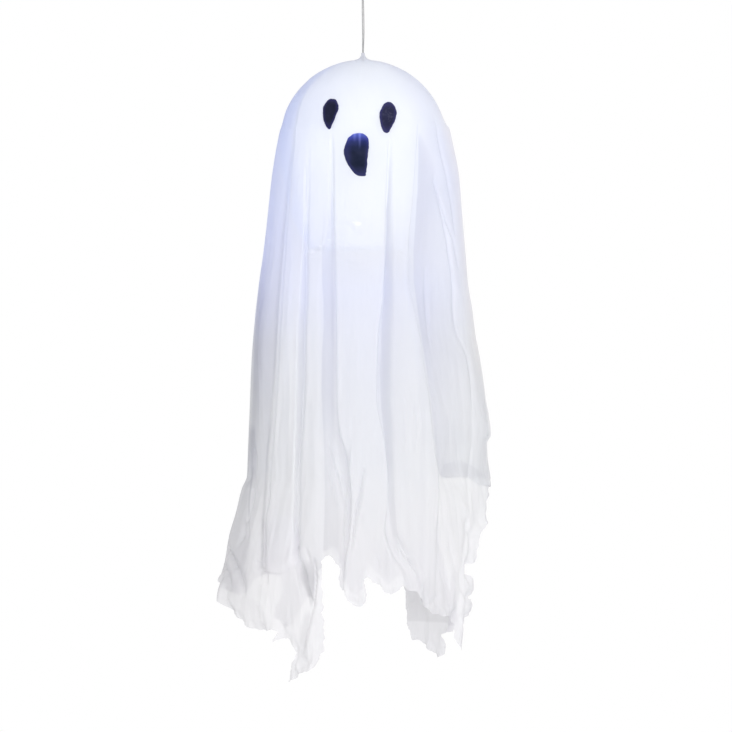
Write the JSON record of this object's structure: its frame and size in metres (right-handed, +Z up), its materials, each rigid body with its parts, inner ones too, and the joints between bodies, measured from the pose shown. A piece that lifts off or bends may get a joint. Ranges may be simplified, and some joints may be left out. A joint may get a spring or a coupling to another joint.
{
  "type": "hanging ghost decoration",
  "caption": "Hanging ghost decoration: white cloth sheet draped over a milky head globe with a battery lamp inside, felt face, on a doubled cord with a ring.",
  "frame": {"origin": "the point of the hanging ring's inner edge that bears on the hook or nail", "axes": "+Z up along the cord; the ghost's face looks to -Y; +X to the right as seen from in front"},
  "size_m": [0.3028, 0.2429, 0.8251],
  "materials": {
    "ring_steel": "polished",
    "cord": "twisted polyester string",
    "nylon": "satin",
    "lamp_plastic": "satin",
    "globe": "milky translucent",
    "cloth": "thin plain-woven polyester",
    "felt": "felt",
    "screw_steel": "plated",
    "cell_sleeve": "gloss sleeve",
    "contact_metal": "nickel plated",
    "switch_black": "satin",
    "board_green": "solder resist",
    "led": "clear, lit cool white",
    "resistor": "lacquered",
    "lens": "clear",
    "lead_red": "satin",
    "lead_black": "satin"
  },
  "bodies": {
    "ring": {"hanging_ring": "ring_steel"},
    "cord": {"hanging_cord": "cord"},
    "ghost": {"cord_knot": "cord", "knot_washer": "nylon", "crown_yoke": "lamp_plastic", "head_globe": "globe", "ghost_sheet": "cloth", "eye_left": "felt", "eye_right": "felt", "mouth": "felt", "battery_case": "lamp_plastic", "yoke_screw_left": "screw_steel", "yoke_screw_right": "screw_steel", "board_screw_left": "screw_steel", "board_screw_right": "screw_steel", "battery_1": "cell_sleeve", "battery_2": "cell_sleeve", "battery_3": "cell_sleeve", "contact_spring_1": "contact_metal", "contact_spring_2": "contact_metal", "contact_spring_3": "contact_metal", "contact_top_bridge": "contact_metal", "contact_top_terminal": "contact_metal", "contact_bottom_bridge": "contact_metal", "contact_bottom_terminal": "contact_metal", "switch_body": "switch_black", "switch_plate": "lamp_plastic", "circuit_board": "board_green", "led_left": "led", "led_middle": "led", "led_right": "led", "series_resistor": "resistor", "lamp_lens": "lens", "lead_red": "lead_red", "lead_black": "lead_black"},
    "door": {"battery_door": "lamp_plastic", "door_screw": "screw_steel"},
    "switch": {"switch_slider": "switch_black"}
  },
  "joints": [
    {"name": "cord_swing", "type": "hinge", "parent": "ring", "child": "cord", "pos_m": [0, 0, -0.0081], "axis": [0, 1, 0], "range_deg": [-25, 25]},
    {"name": "ghost_spin", "type": "hinge", "parent": "cord", "child": "ghost", "pos_m": [0, 0, -0.1198], "axis": [0, 0, 1], "continuous": true},
    {"name": "battery_door_hinge", "type": "hinge", "parent": "ghost", "child": "door", "pos_m": [-0.004, 0.007, -0.1688], "axis": [1, 0, 0], "range_deg": [0, 95]},
    {"name": "switch_slide", "type": "slide", "parent": "ghost", "child": "switch", "axis": [0, 0, 1], "range_m": [0, 0.004]}
  ]
}
